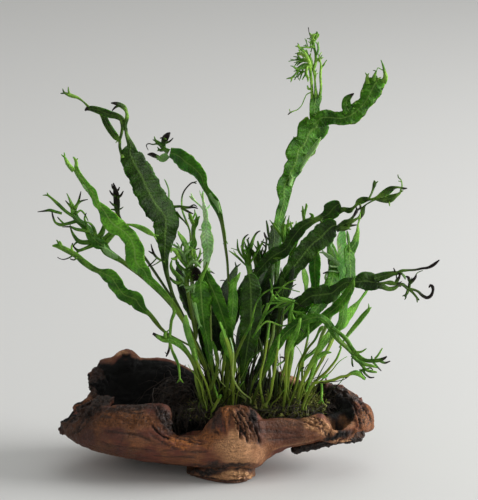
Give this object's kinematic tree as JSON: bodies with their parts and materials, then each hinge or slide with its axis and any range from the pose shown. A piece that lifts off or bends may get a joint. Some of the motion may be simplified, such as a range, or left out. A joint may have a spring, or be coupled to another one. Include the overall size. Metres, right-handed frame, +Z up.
{
  "type": "java fern on driftwood",
  "caption": "Crested java fern with tall forked blades and low arching fronds, grown from rhizomes on a hollow piece of driftwood that stands on its own.",
  "frame": {"origin": "middle of the flat rest under the foot of the wood, on the surface it stands on", "axes": "+X to the right seen from the front, along the wood, +Y from the front to the back, +Z up"},
  "size_m": [0.261, 0.1332, 0.2799],
  "materials": {
    "wood": "water-worn, matt",
    "wood_foot": "eroded end grain, matt",
    "bark": "rough, black-brown",
    "moss": "felted mat of moss and roots",
    "rhizome": "scaly, satin",
    "leaf_dark": "leathery, satin",
    "leaf_mid": "leathery, satin",
    "leaf_bright": "smooth, satin",
    "leaf_pale": "pale underside, matt"
  },
  "bodies": {
    "root": {"driftwood_trunk": "wood", "driftwood_right_arm": "wood", "driftwood_foot": "wood_foot", "driftwood_bark_flap": "bark", "moss_mat": "moss", "rhizome_front": "rhizome", "rhizome_middle": "rhizome", "rhizome_inner": "rhizome", "rhizome_back": "rhizome", "frond_tall_left_blade": "leaf_dark", "frond_light_left": "leaf_bright", "frond_crested_left": "leaf_mid", "frond_dark_crest_left": "leaf_dark", "frond_wavy_low_left": "leaf_mid", "frond_short_low_left": "leaf_mid", "frond_arching_left": "leaf_mid", "frond_tall_right": "leaf_mid", "frond_dark_right": "leaf_dark", "frond_green_right": "leaf_dark", "frond_dark_low_right": "leaf_dark", "frond_upright_right": "leaf_mid", "frond_pale_upright_right": "leaf_pale", "frond_arching_low_right": "leaf_mid", "frond_thick_bright": "leaf_bright", "frond_second_bright": "leaf_bright", "frond_slant_right": "leaf_mid", "frond_light_leaf_right": "leaf_bright", "frond_narrow_slant_right": "leaf_bright", "frond_bright_wavy_right": "leaf_bright", "frond_level_right": "leaf_bright", "frond_thin_right": "leaf_bright", "frond_pale_wavy_centre": "leaf_pale", "frond_thin_curl_left": "leaf_mid", "frond_narrow_forked_left": "leaf_mid", "frond_crested_inner_left": "leaf_mid", "frond_olive_forked": "leaf_mid", "frond_dark_forked_centre": "leaf_dark", "frond_narrow_upper_centre": "leaf_dark", "frond_curled_crest_centre": "leaf_mid", "frond_hanging_green": "leaf_mid", "frond_bright_narrow_right": "leaf_bright", "frond_broad_centre_left": "leaf_mid", "frond_diagonal_centre": "leaf_mid", "frond_small_centre": "leaf_bright", "frond_broad_olive_centre": "leaf_dark", "frond_light_narrow_centre": "leaf_bright", "frond_crossing_centre": "leaf_mid", "frond_second_crossing": "leaf_bright", "frond_bright_light_left": "leaf_bright", "frond_front_left_stem": "leaf_bright", "frond_front_small_leaf": "leaf_bright", "frond_front_narrow_left": "leaf_mid", "frond_front_bright_centre": "leaf_bright", "frond_front_slant_centre": "leaf_mid", "frond_pale_curved_centre": "leaf_pale", "frond_unrolling_tip": "leaf_bright", "frond_thin_front_right": "leaf_bright", "frond_rear_left": "leaf_dark", "frond_rear_centre": "leaf_dark"}
  },
  "joints": []
}
